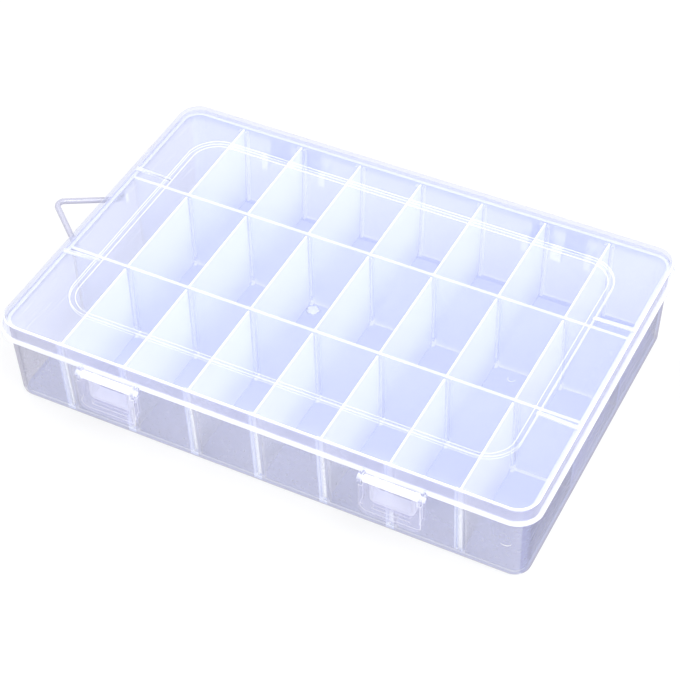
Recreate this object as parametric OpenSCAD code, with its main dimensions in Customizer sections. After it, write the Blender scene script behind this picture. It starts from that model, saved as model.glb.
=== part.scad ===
// Embroidery thread box: a clear tray of small compartments under a hinged lid.
// Origin at the middle of the tray's underside, +X along the length, +Y to the hinges, +Z up.
// All sizes are in millimetres, with the lid shut, the latches down and the hanger out.

/* [Whole box] */
// Length over the bead round the lid's rim
box_l = 194; // [170:1:230]
// Width over the bead round the lid's rim
box_w = 132; // [120:1:160]
// Height from the table to the top of the lid
box_h = 36; // [32:0.5:48]
// Corner radius of the bead round the lid's rim
corner_r = 9; // [7:0.5:14]

/* [Lid] */
// Thickness of the lid's top
lid_top_t = 1.2; // [0.8:0.1:1.6]
// Thickness of the lid's skirt
skirt_t = 1.2; // [0.8:0.1:1.6]
// Depth of the skirt from the lid's top down to its open edge
skirt_h = 6.8; // [6.5:0.1:8]
// How far the rim bead stands out of the skirt
bead_d = 0.6; // [0.4:0.1:1]
// Height of the rim bead
bead_h = 1.8; // [1.2:0.1:2.2]
// Inset of the lid's top from the foot of the skirt, for the mould's draft
lid_draft = 0.6; // [0.2:0.1:1]
// Roundness of the lid's top edge
lid_edge_r = 1.2; // [0.6:0.1:1.6]
// Margin between the lid's ends and the sunk panel
panel_end_margin = 13.5; // [10:0.5:18]
// Margin between the lid's front and back edges and the sunk panel
panel_side_margin = 14; // [10:0.5:18]
// Depth of the sunk panel
panel_drop = 0.8; // [0.4:0.1:1.2]
// Width of the slope round the sunk panel
panel_slope = 2; // [1:0.25:3]
// Corner radius of the sunk panel
panel_r = 12; // [8:0.5:18]
// Thickness of the short ribs under the lid's end margins
lid_rib_t = 1.2; // [0.8:0.1:2]
// Drop of the short ribs below the margin's underside
lid_rib_h = 0.8; // [0.4:0.1:1]
// Distance of each short rib from the long wall beside it
lid_rib_off = 2.9; // [2:0.1:6]

/* [Tray] */
// Thickness of the outer walls
wall_t = 1.2; // [0.9:0.1:1.5]
// Thickness of the floor
floor_t = 1.4; // [1:0.1:2.5]
// Inset of the underside from the rim at each end, for the mould's draft
end_draft = 0.8; // [0.3:0.1:1.4]
// Inset of the underside from the rim at front and back
side_draft = 1.9; // [0.6:0.1:2.4]
// Roundness of the tray's bottom edge
foot_r = 2; // [1:0.25:3]
// Roundness where the walls meet the floor inside
inner_r = 0.8; // [0.4:0.1:1.2]
// Play between the tray's rim and the skirt at each end
end_play = 0.6; // [0.4:0.1:1]
// Play between the tray's rim and the skirt at front and back
side_play = 0.8; // [0.6:0.1:1.2]
// Gap between the tray's rim and the sunk panel above it
lid_lift = 0.6; // [0.4:0.1:1]

/* [Compartments] */
// Compartments along the length
columns = 8; // [4:1:9]
// Clear length of the compartment at each end
end_cell_l = 21.4; // [17:0.1:22]
// Thickness of the two fixed long walls
long_wall_t = 1.2; // [0.8:0.1:1.6]
// Thickness of a loose divider
divider_t = 1.2; // [0.8:0.1:1.6]
// Play on each side of a divider in its guide
slot_play = 0.2; // [0.1:0.05:0.4]
// Gap between a divider's ends and the walls
end_gap = 0.3; // [0.2:0.05:0.5]
// Gap between a divider's foot and the floor
floor_gap = 0.1; // [0.1:0.05:0.3]
// Drop of a divider's top edge below the rim
divider_drop = 0.3; // [0.1:0.1:1]
// Cut across a divider's lower corners, which leads it into its guides
lead_in = 1.5; // [1:0.1:3]
// How far a guide rib stands out of its wall
guide_d = 1.2; // [0.8:0.1:1.5]
// Width of a guide rib
guide_w = 1; // [0.8:0.1:1.4]
// Drop of the guide ribs below the rim
guide_drop = 0.9; // [0.5:0.1:3]

/* [Hinges] */
// Distance of each hinge from the middle of the box
hinge_x = 52; // [35:1:65]
// Length of a hinge
hinge_l = 26; // [22:1:32]
// Diameter of the hinge pin
hinge_pin_d = 2.8; // [2.4:0.1:3.2]
// Height of the hinge pin below the skirt's open edge
hinge_drop = 7.7; // [7:0.1:9]
// Distance of the hinge pin behind the rim bead
hinge_out = 1; // [0.8:0.1:2]
// Thickness of each outer ear of a hinge
ear_t = 2.4; // [1.6:0.1:3]
// Thickness of a hinge's middle ear
mid_ear_t = 4; // [2:0.1:5]
// Plastic round the pin in the ears
ear_skin = 1; // [0.8:0.1:1.4]
// Plastic round the pin in the snap clips
clip_t = 1.3; // [1:0.1:1.5]
// Width of the mouth that a snap clip is pushed on through
clip_mouth = 2.2; // [1.8:0.1:2.3]
// Thickness of the arms that carry the snap clips
arm_t = 1.4; // [1:0.1:1.8]
// Radial play of every pin in its bore
pin_play = 0.06; // [0.02:0.01:0.1]
// Play beside every pivoting piece
side_gap = 0.3; // [0.2:0.05:0.5]

/* [Latches] */
// Distance of each latch from the middle of the box
latch_x = 51; // [30:1:65]
// Width of a latch
latch_w = 21.5; // [18:0.5:26]
// Height of a latch from its pivot to its lower edge
latch_h = 14.6; // [13:0.1:16]
// Thickness of a latch's plate
latch_t = 1.2; // [0.9:0.1:1.4]
// Radius of a latch's lower corners
latch_r = 2.5; // [1.5:0.1:4]
// Diameter of a latch's pivot barrel
barrel_d = 3; // [2.6:0.1:3.2]
// Diameter of a latch's pivot pins
latch_pin_d = 1.8; // [1.4:0.1:1.9]
// Gap between the rim bead and the pivot barrel
barrel_gap = 0.4; // [0.3:0.05:0.8]
// Thickness of the lid's ears that carry the latch's pins
latch_ear_t = 1.6; // [1.2:0.1:2]
// Thickness of a latch's side flanges
flange_t = 1; // [0.8:0.1:1.4]
// How far the side flanges reach behind the plate
flange_d = 2.2; // [1.6:0.1:2.5]
// Width of the catch frame on the tray's front wall
catch_w = 15.5; // [13:0.5:17]
// Height of the catch frame
catch_h = 8.4; // [7:0.1:9]
// Height of the catch frame's lower edge above the latch's lower edge
catch_lift = 4; // [3.5:0.1:5]
// Width of the walls of the catch frame
catch_t = 1.2; // [0.9:0.1:1.6]
// Gap between the catch frame and the latch's snap bead
catch_gap = 0.35; // [0.3:0.05:0.5]
// Height of the latch's snap bead
snap_h = 1.5; // [1:0.1:2]
// How far the snap bead stands out of the latch's plate
snap_d = 1.4; // [1:0.1:1.5]
// How far the snap bead reaches in under the catch frame
catch_bite = 0.5; // [0.3:0.05:0.6]

/* [Hanger] */
// Thickness of the hanger's bar
hanger_d = 2.1; // [1.6:0.1:2.4]
// Half the width of the hanger's V at its pivot
hanger_half_w = 14; // [10:0.5:20]
// Reach of the hanger from its pivot to where its legs would meet
hanger_reach = 17.6; // [13:0.1:22]
// Radius that the hanger's bar is bent to at its point
bend_r = 2.6; // [2:0.1:4]
// Radius that the hanger's bar is bent to at its pivot ends
elbow_r = 1.6; // [1.3:0.1:2.2]
// Upward slant of the hanger as it stands out
hanger_rise = 11; // [0:1:25]
// Height of the hanger's pivot below the skirt's open edge
hanger_drop = 2.4; // [2.3:0.1:5]
// Distance of the hanger's pivot from the tray's wall
hanger_out = 2.3; // [2:0.1:4]
// Diameter of the hanger's pivot pins
hanger_pin_d = 1.6; // [1.2:0.1:1.8]
// Length of the straight ends of the hanger's bar
hanger_collar = 0.4; // [0.2:0.1:2]
// Thickness of the lugs that carry the hanger
lug_t = 1.6; // [1.2:0.1:2.4]
// Plastic round the hanger's pivot pins in the lugs
lug_skin = 1; // [0.8:0.1:1.2]

/* [Hidden] */
ROWS = ["front", "middle", "back"];

clear_colour = [0.84, 0.87, 0.99, 0.55];
frost_colour = [0.93, 0.95, 1, 0.8];
edge_colour = [0.93, 0.94, 1, 0.8];

// Facets round the corners of the tapered shells, and of everything else
shell_fn = 64;
$fn = 64;
// Overlap that makes two solids of one piece grow into each other
sink = 0.5;

// Levels of the lid, the rim and the compartments
skirt_z = box_h - skirt_h;
margin_z = box_h - lid_top_t;
panel_z = margin_z - panel_drop;
rim_z = panel_z - lid_lift;
lid_foot_l = box_l - 2 * bead_d;
lid_foot_w = box_w - 2 * bead_d;
lid_r = corner_r - bead_d;
panel_l = lid_foot_l - 2 * lid_draft - 2 * panel_end_margin;
panel_w = lid_foot_w - 2 * lid_draft - 2 * panel_side_margin;

// Outline of the tray at its rim and the spacing inside it
tray_l = lid_foot_l - 2 * skirt_t - 2 * end_play;
tray_w = lid_foot_w - 2 * skirt_t - 2 * side_play;
tray_r = lid_r - skirt_t - end_play;
inner_l = tray_l - 2 * wall_t;
inner_w = tray_w - 2 * wall_t;
pitch = (inner_l - 2 * end_cell_l - divider_t) / (columns - 2);
long_wall_y = inner_w / 6;
draft_angle = atan(side_draft / rim_z);
divider_top_z = rim_z - divider_drop;
divider_foot_z = floor_t + floor_gap;

// Pivot axes
hinge_y = box_w / 2 + hinge_out;
hinge_z = skirt_z - hinge_drop;
latch_y = -box_w / 2 - barrel_gap - barrel_d / 2;
latch_z = skirt_z + 0.1;
latch_foot_z = latch_z - latch_h;
hanger_z = skirt_z - hanger_drop;
hanger_x = -end_x(hanger_z) - hanger_out;

// Spans along the hinge: each clip fills the gap between two ears
clip_from = mid_ear_t / 2 + side_gap;
clip_to = hinge_l / 2 - ear_t - side_gap;

// Spans along the latch and the heights of its catch
barrel_half = latch_w / 2 + 0.5 - latch_ear_t - side_gap;
latch_ear_r = latch_pin_d / 2 + 0.8;
shoulder_z = latch_z - latch_ear_r - 0.4;
plate_front_y = latch_y - barrel_d / 2;
plate_back_y = plate_front_y + latch_t;
catch_z = latch_foot_z + catch_lift;
snap_y = plate_back_y + snap_d;
catch_front_y = snap_y - catch_bite;

// The hanger's half angle, the end of its elbows and the inner faces of its lugs
slant = atan(hanger_half_w / hanger_reach);
elbow_end = hanger_half_w + elbow_r * tan(45 - slant / 2);
lug_near = elbow_end + hanger_collar + side_gap;
lug_r = hanger_pin_d / 2 + lug_skin;

function divider_name(row, i) = str("divider_", row, "_", i);

// Distance of the tray's outer faces from the middle at a height
function end_x(z) = tray_l / 2 - end_draft * (1 - z / rim_z);
function side_y(z) = tray_w / 2 - side_draft * (1 - z / rim_z);

// Place of a divider along the length
function divider_x(i) = (i - columns / 2) * pitch;

// Points of a rectangle with rounded corners
function rounded(l, w, r) = [
    for (a = [0 : 360 / shell_fn : 359]) for (turn = a % 90 == 0 ? [-1, 1] : [0])
        let (q = a + turn)
        [
            sign(cos(q)) * (l / 2 - r) + r * cos(a),
            sign(sin(q)) * (w / 2 - r) + r * sin(a)
        ]
];

// One ring of a shell at a height, drawn in by dx at the ends and dy at the sides
function ring(l, w, r, z, dx, dy) = [
    for (p = rounded(l - 2 * dx, w - 2 * dy, r - min(dx, dy))) [p.x, p.y, z]
];

// A closed skin over rings of points, with a cap on the first ring and on the last
module skin(rings) {
    n = len(rings[0]);
    last = (len(rings) - 1) * n;
    caps = [[for (i = [0 : n - 1]) i], [for (i = [n - 1 : -1 : 0]) last + i]];
    sides = [
        for (k = [0 : n : last - n]) for (i = [0 : n - 1])
            let (j = (i + 1) % n)
            [k + i, k + n + i, k + n + j, k + j]
    ];
    polyhedron([for (r = rings) each r], concat(caps, sides), convexity = 8);
}

// An outline in Y and Z, extruded along X from one place to another
module along_x(from, to) {
    translate([from, 0, 0]) rotate([90, 0, 90]) linear_extrude(to - from) children();
}

// An outline in X and Z, extruded towards the front from one place to another
module to_front(from, to) {
    translate([0, from, 0]) rotate([90, 0, 0]) linear_extrude(from - to) children();
}

module rod_x(from, to, d) {
    translate([from, 0, 0]) rotate([0, 90, 0]) cylinder(h = to - from, d = d);
}

module rod_y(from, to, d) {
    translate([0, to, 0]) rotate([90, 0, 0]) cylinder(h = to - from, d = d);
}

// Quarter-round steps of an edge of radius r, as [height, inset]
function round_steps(r) = [for (a = [0, 30, 60, 90]) [r * (1 - cos(a)), r * (1 - sin(a))]];

// Tray

function tray_ring(l, w, r, z, inset) =
    ring(l, w, r, z, end_draft * (1 - z / rim_z) + inset, side_draft * (1 - z / rim_z) + inset);

// Outer face from the underside up to the rim, then the inner face down to the floor
module tray_shell() {
    outer = [
        for (s = round_steps(foot_r)) tray_ring(tray_l, tray_w, tray_r, s[0], s[1])
    ];
    inner = [
        for (s = round_steps(inner_r))
            tray_ring(inner_l, inner_w, tray_r - wall_t, floor_t + s[0], s[1])
    ];
    skin(concat(
        outer,
        [tray_ring(tray_l, tray_w, tray_r, rim_z, 0)],
        [tray_ring(inner_l, inner_w, tray_r - wall_t, rim_z, 0)],
        [for (i = [len(inner) - 1 : -1 : 0]) inner[i]]
    ));
}

// Plans of the guide ribs, two beside every divider, between two distances from a wall's face
module guide_pairs(from, to) {
    for (i = [1 : columns - 1]) {
        for (side = [-1, 1]) {
            x = divider_x(i) + side * (divider_t / 2 + slot_play + guide_w / 2);
            translate([x - guide_w / 2, from]) square([guide_w, to - from]);
        }
    }
}

module long_wall(side) {
    mid_y = side * long_wall_y;
    reach = long_wall_t / 2 + guide_d;
    low = end_x(floor_t) - wall_t / 2;
    high = end_x(rim_z) - wall_t / 2;
    to_front(mid_y + long_wall_t / 2, mid_y - long_wall_t / 2)
        polygon([
            [-low, floor_t - sink],
            [low, floor_t - sink],
            [low, floor_t],
            [high, rim_z],
            [-high, rim_z],
            [-low, floor_t]
        ]);
    translate([0, mid_y, floor_t - sink])
        linear_extrude(rim_z - guide_drop - floor_t + sink)
            guide_pairs(-reach, reach);
}

// Guide ribs of the front or back wall, leaning with the wall's draft
module wall_guides(side) {
    mirror([0, side > 0 ? 1 : 0, 0])
        translate([0, -side_y(0) + wall_t, 0])
            rotate([draft_angle, 0, 0])
                translate([0, 0, floor_t - sink])
                    linear_extrude(rim_z - guide_drop - floor_t + sink)
                        guide_pairs(-wall_t / 2, guide_d);
}

module hinge_ear(from, to) {
    low_z = hinge_z - hinge_drop + 2.7;
    r = hinge_pin_d / 2 + ear_skin;
    along_x(from, to) {
        translate([hinge_y, hinge_z]) circle(r);
        polygon([
            [side_y(low_z) - wall_t / 2, low_z],
            [hinge_y + r * sin(30), hinge_z - r * cos(30)],
            [hinge_y, hinge_z + r],
            [side_y(hinge_z) - wall_t / 2, hinge_z + r]
        ]);
    }
}

module hinge_mount(x) {
    half = hinge_l / 2;
    translate([x, 0, 0]) {
        hinge_ear(-half, -half + ear_t);
        hinge_ear(-mid_ear_t / 2, mid_ear_t / 2);
        hinge_ear(half - ear_t, half);
        translate([0, hinge_y, hinge_z]) rod_x(-half, half, hinge_pin_d);
    }
}

// U-shaped frame with rounded lower corners, whose lower bar the latch snaps under
module catch_frame(x) {
    r = 2;
    inner_w = catch_w - 2 * catch_t;
    translate([x, 0, catch_z])
        to_front(-side_y(catch_z) + wall_t / 2, catch_front_y)
            difference() {
                union() {
                    translate([-catch_w / 2, r]) square([catch_w, catch_h - r]);
                    translate([-catch_w / 2 + r, 0]) square([catch_w - 2 * r, r]);
                    for (s = [-1, 1]) translate([s * (catch_w / 2 - r), r]) circle(r);
                }
                translate([-inner_w / 2, catch_t]) square([inner_w, catch_h]);
            }
}

module hanger_lug(side) {
    far = lug_near + lug_t;
    mirror([0, side > 0 ? 0 : 1, 0])
        translate([hanger_x, 0, hanger_z])
            difference() {
                union() {
                    rod_y(lug_near, far, 2 * lug_r);
                    translate([0, lug_near, -lug_r])
                        cube([hanger_out + wall_t / 2, lug_t, 2 * lug_r]);
                }
                rod_y(lug_near - 1, far + 1, hanger_pin_d + 2 * pin_play);
            }
}

module base_tray() {
    color(clear_colour) {
        tray_shell();
        for (side = [-1, 1]) {
            long_wall(side);
            wall_guides(side);
            hinge_mount(side * hinge_x);
            catch_frame(side * latch_x);
            hanger_lug(side);
        }
    }
}

// Lid

// Underside out from the sunk panel, round the skirt's edge and bead, and in over the top
module lid_shell() {
    soft = bead_d / 2;
    ledge = bead_d + lid_draft * bead_h / skirt_h;
    edge = [
        for (s = round_steps(lid_edge_r))
            ring(lid_foot_l, lid_foot_w, lid_r, box_h - s[0], lid_draft + s[1], lid_draft + s[1])
    ];
    skin(concat(
        [
            ring(panel_l, panel_w, panel_r, margin_z - panel_drop, panel_slope, panel_slope),
            ring(panel_l, panel_w, panel_r, margin_z, 0, 0),
            ring(lid_foot_l, lid_foot_w, lid_r, margin_z, skirt_t + lid_draft, skirt_t + lid_draft),
            ring(lid_foot_l, lid_foot_w, lid_r, skirt_z, skirt_t, skirt_t),
            ring(box_l, box_w, corner_r, skirt_z, soft, soft),
            ring(box_l, box_w, corner_r, skirt_z + soft, 0, 0),
            ring(box_l, box_w, corner_r, skirt_z + bead_h - soft, 0, 0),
            ring(box_l, box_w, corner_r, skirt_z + bead_h, soft, soft),
            ring(box_l, box_w, corner_r, skirt_z + bead_h, ledge, ledge)
        ],
        [for (i = [len(edge) - 1 : -1 : 0]) edge[i]],
        [
            ring(panel_l, panel_w, panel_r, box_h, 0, 0),
            ring(panel_l, panel_w, panel_r, box_h - panel_drop, panel_slope, panel_slope)
        ]
    ));
}

module lid_rib(end, side) {
    reach = lid_foot_l / 2 - lid_draft - sink;
    from = panel_l / 2 - panel_slope / 2;
    rib_y = long_wall_y + long_wall_t / 2 + lid_rib_off - lid_rib_t / 2;
    mirror([end > 0 ? 0 : 1, 0, 0])
        mirror([0, side > 0 ? 0 : 1, 0])
            translate([from, rib_y, margin_z - lid_rib_h])
                cube([reach - from, lid_rib_t, lid_rib_h + sink]);
}

module hinge_clip(x, from, to) {
    arm_y = box_w / 2 - bead_d - sink;
    top_z = skirt_z + bead_h - bead_d / 2;
    r = hinge_pin_d / 2 + pin_play;
    translate([x, 0, 0]) {
        difference() {
            along_x(from, to) {
                translate([hinge_y, hinge_z]) circle(r + clip_t);
                translate([arm_y, hinge_z]) square([arm_t, top_z - hinge_z]);
            }
            translate([0, hinge_y, hinge_z]) rod_x(from - 1, to + 1, 2 * r);
            translate([from - 1, hinge_y - clip_mouth / 2, hinge_z - r - clip_t - 1])
                cube([to - from + 2, clip_mouth, r + clip_t + 1]);
        }
    }
}

module latch_ear(x, from, to) {
    root_y = -box_w / 2 + bead_d + skirt_t / 2;
    translate([x, 0, 0]) {
        difference() {
            along_x(from, to) {
                translate([latch_y, latch_z]) circle(latch_ear_r);
                translate([latch_y, latch_z - latch_ear_r])
                    square([root_y - latch_y, 2 * latch_ear_r]);
            }
            translate([0, latch_y, latch_z]) rod_x(from - 1, to + 1, latch_pin_d + 2 * pin_play);
        }
    }
}

module lid() {
    ear_from = barrel_half + side_gap;
    color(clear_colour) {
        lid_shell();
        for (side = [-1, 1]) {
            lid_rib(-1, side);
            lid_rib(1, side);
            hinge_clip(side * hinge_x, -clip_to, -clip_from);
            hinge_clip(side * hinge_x, clip_from, clip_to);
            latch_ear(side * latch_x, -ear_from - latch_ear_t, -ear_from);
            latch_ear(side * latch_x, ear_from, ear_from + latch_ear_t);
        }
    }
}

// Latches

module latch_plate() {
    half = latch_w / 2;
    to_front(plate_back_y, plate_front_y) {
        translate([-half, latch_foot_z + latch_r])
            square([latch_w, shoulder_z - latch_foot_z - latch_r]);
        translate([-half + latch_r, latch_foot_z]) square([latch_w - 2 * latch_r, latch_r]);
        for (s = [-1, 1]) {
            translate([s * (half - latch_r), latch_foot_z + latch_r]) circle(latch_r);
        }
        translate([-barrel_half, shoulder_z - sink])
            square([2 * barrel_half, latch_z - shoulder_z + sink]);
    }
}

module latch_flange(from, to) {
    back_y = plate_back_y + flange_d;
    along_x(from, to)
        polygon([
            [plate_back_y - sink, latch_foot_z + latch_r],
            [back_y, latch_foot_z + latch_r + flange_d / 2],
            [back_y, shoulder_z - flange_d / 2],
            [plate_back_y - sink, shoulder_z]
        ]);
}

module latch(x) {
    half = latch_w / 2;
    snap_half = catch_w / 2 - catch_t;
    ear_out = barrel_half + side_gap + latch_ear_t;
    color(edge_colour)
        translate([x, 0, 0]) {
            latch_plate();
            latch_flange(-half, -half + flange_t);
            latch_flange(half - flange_t, half);
            translate([0, latch_y, latch_z]) {
                rod_x(-barrel_half, barrel_half, barrel_d);
                rod_x(-ear_out, ear_out, latch_pin_d);
            }
            translate([-snap_half, plate_back_y - sink, catch_z - catch_gap - snap_h])
                cube([2 * snap_half, snap_d + sink, snap_h]);
        }
}

// Hanger

// Bearings in equal steps from one to another
function sweep(from, to, steps) = [for (i = [0 : steps]) from + (to - from) * i / steps];

// Middle line of half the hanger as [x, y, bearing of its section], from the pivot to the point
function half_path() =
    let (tip_x = bend_r / sin(slant) - hanger_reach)
    concat(
        [[0, elbow_end + hanger_collar, 0]],
        [
            for (a = sweep(0, slant - 90, 5))
                [elbow_r * (cos(a) - 1), elbow_end + elbow_r * sin(a), a]
        ],
        [for (a = sweep(90 + slant, 180, 5)) [tip_x + bend_r * cos(a), bend_r * sin(a), a - 180]]
    );

module hanger_bar() {
    half = half_path();
    other = [for (i = [len(half) - 2 : -1 : 0]) [half[i].x, -half[i].y, -half[i].z]];
    r = hanger_d / 2;
    skin([
        for (p = concat(half, other)) [
            for (a = [0 : 15 : 345])
                [p.x + r * cos(a) * cos(p.z), p.y + r * cos(a) * sin(p.z), r * sin(a)]
        ]
    ]);
}

module hanger() {
    color(edge_colour)
        translate([hanger_x, 0, hanger_z])
            rotate([0, hanger_rise, 0]) {
                hanger_bar();
                rod_y(elbow_end, lug_near + lug_t, hanger_pin_d);
                rod_y(-lug_near - lug_t, -elbow_end, hanger_pin_d);
            }
}

// Dividers

// A plate across one row, with lower corners cut and ends that follow the walls' draft
module divider(row, i) {
    near = long_wall_y + long_wall_t / 2 + end_gap;
    far_foot = side_y(divider_foot_z) - wall_t - end_gap;
    far_top = side_y(divider_top_z) - wall_t - end_gap;
    middle = long_wall_y - long_wall_t / 2 - end_gap;
    x = divider_x(i);
    color(frost_colour)
        mirror([0, row == "front" ? 1 : 0, 0])
            along_x(x - divider_t / 2, x + divider_t / 2)
                if (row == "middle") {
                    divider_outline(-middle, -middle, middle, middle);
                } else {
                    divider_outline(near, near, far_foot, far_top);
                }
}

module divider_outline(near_foot, near_top, far_foot, far_top) {
    polygon([
        [near_foot + lead_in, divider_foot_z],
        [far_foot - lead_in, divider_foot_z],
        [far_foot, divider_foot_z + lead_in],
        [far_top, divider_top_z],
        [near_top, divider_top_z],
        [near_foot, divider_foot_z + lead_in]
    ]);
}

base_tray();
lid();
latch(-latch_x);  // latch_left
latch(latch_x);  // latch_right
hanger();
for (row = ROWS) {
    for (i = [1 : columns - 1]) {
        divider(row, i);
    }
}
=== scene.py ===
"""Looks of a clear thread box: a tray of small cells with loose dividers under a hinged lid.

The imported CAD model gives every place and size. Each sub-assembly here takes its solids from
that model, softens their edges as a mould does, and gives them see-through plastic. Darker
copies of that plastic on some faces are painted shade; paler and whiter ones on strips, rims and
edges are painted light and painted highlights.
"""

import logging
import math
from dataclasses import dataclass
from enum import Enum
from functools import cached_property
from typing import Callable, Iterable, Sequence

import bmesh
import bpy
from mathutils import Matrix, Vector

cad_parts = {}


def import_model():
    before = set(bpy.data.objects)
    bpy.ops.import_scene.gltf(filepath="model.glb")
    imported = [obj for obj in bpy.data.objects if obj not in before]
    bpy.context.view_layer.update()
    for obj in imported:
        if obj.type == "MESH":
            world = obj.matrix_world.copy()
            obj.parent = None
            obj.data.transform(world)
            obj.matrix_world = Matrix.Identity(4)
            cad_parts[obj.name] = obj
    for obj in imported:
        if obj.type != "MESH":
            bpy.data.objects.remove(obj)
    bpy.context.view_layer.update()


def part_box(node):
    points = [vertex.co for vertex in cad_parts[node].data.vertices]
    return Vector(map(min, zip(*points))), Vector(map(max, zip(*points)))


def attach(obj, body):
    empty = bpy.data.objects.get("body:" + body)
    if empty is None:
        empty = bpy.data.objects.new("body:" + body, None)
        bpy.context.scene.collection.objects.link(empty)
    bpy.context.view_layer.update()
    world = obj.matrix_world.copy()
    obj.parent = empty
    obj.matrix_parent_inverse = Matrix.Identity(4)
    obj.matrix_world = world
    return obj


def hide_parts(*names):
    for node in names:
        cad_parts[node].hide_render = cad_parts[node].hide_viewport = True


LOG = logging.getLogger("thread_box")
MM = 0.001

# Powers that the effects of a glancing look rise by
SLOW_RISE = 2.0
STEEP_RISE = 5.0

# What all finishes share
REFRACTION = 1.49
FLOW_STRETCH = 0.45
RIPPLE_HEIGHT = 0.4 * MM
SCUFF_SCALE = 900.0
SCUFF_HAZE = 0.2

# Place of the finish of the rounded edges in a piece's list, a whiter finish that paints highlights
# along them
EDGE_PLACE = 1

# Least share of a face's normal along an axis that counts as turned to it, or as square to it
TURNED = 0.5
SQUARE = 0.9

# Bounds of the box's forms in the shared frame, in mm
LONG_SIDES = 60.0  # The front and back walls and the lid's long skirts lie beyond it
LID_ENDS = 90.0  # The lid's end skirts lie beyond it
TRAY_ENDS = 92.0  # The tray's end walls lie beyond it
GUIDE_REACH = 80.0  # All guides stand within it along the length
GUIDE_FOOT = 4.0  # The finish of the guides starts above it
CLIP_REACH = 66.2  # Only the lid's clips and ears stand beyond it
SKIRT_FOOT = 29.1  # Only the lid's clips and ears hang below it

Colour = tuple[float, float, float]
Point = tuple[float, float, float]
Value = bpy.types.NodeSocket | float
Chooser = Callable[[Vector, Vector], bool]


class Slot(Enum):
    """The record's material slots."""

    CLEAR = "clear_plastic"
    MOULDED = "moulded_plastic"
    FROSTED = "frosted_plastic"


class Body(Enum):
    """The bodies that the pieces ride on."""

    BASE = "base"
    LID = "lid"
    LATCH_LEFT = "latch_left"
    LATCH_RIGHT = "latch_right"
    HANGER = "hanger"


class Row(Enum):
    """The three rows of cells, from the latches to the hinges."""

    FRONT = "front"
    MIDDLE = "middle"
    BACK = "back"


# Shader effects that several plastics share


class NodeBoard:
    """A node tree with short calls to add and join its nodes."""

    def __init__(self, tree: bpy.types.NodeTree) -> None:
        """Takes over a tree and empties it.

        Args:
            tree: The shader or geometry tree to build in.
        """
        self.tree = tree
        tree.nodes.clear()

    def add(self, kind: str, **settings: object) -> bpy.types.Node:
        """Adds a node.

        Args:
            kind: The node's type name.
            settings: Its properties, by name.

        Returns:
            The new node.
        """
        node = self.tree.nodes.new(kind)
        for name, value in settings.items():
            setattr(node, name, value)
        return node

    def join(self, source: bpy.types.NodeSocket, target: bpy.types.NodeSocket) -> None:
        """Links an output to an input."""
        self.tree.links.new(source, target)

    def math(self, operation: str, *inputs: Value, clamp: bool = False) -> bpy.types.NodeSocket:
        """Adds a Math node.

        Args:
            operation: The Math node's operation.
            inputs: Its inputs in order, sockets or plain numbers.
            clamp: Whether the result is held between 0 and 1.

        Returns:
            The node's output.
        """
        node = self.add("ShaderNodeMath", operation=operation, use_clamp=clamp)
        for slot, value in zip(node.inputs, inputs):
            if isinstance(value, bpy.types.NodeSocket):
                self.join(value, slot)
            else:
                slot.default_value = value
        return node.outputs[0]


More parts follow.
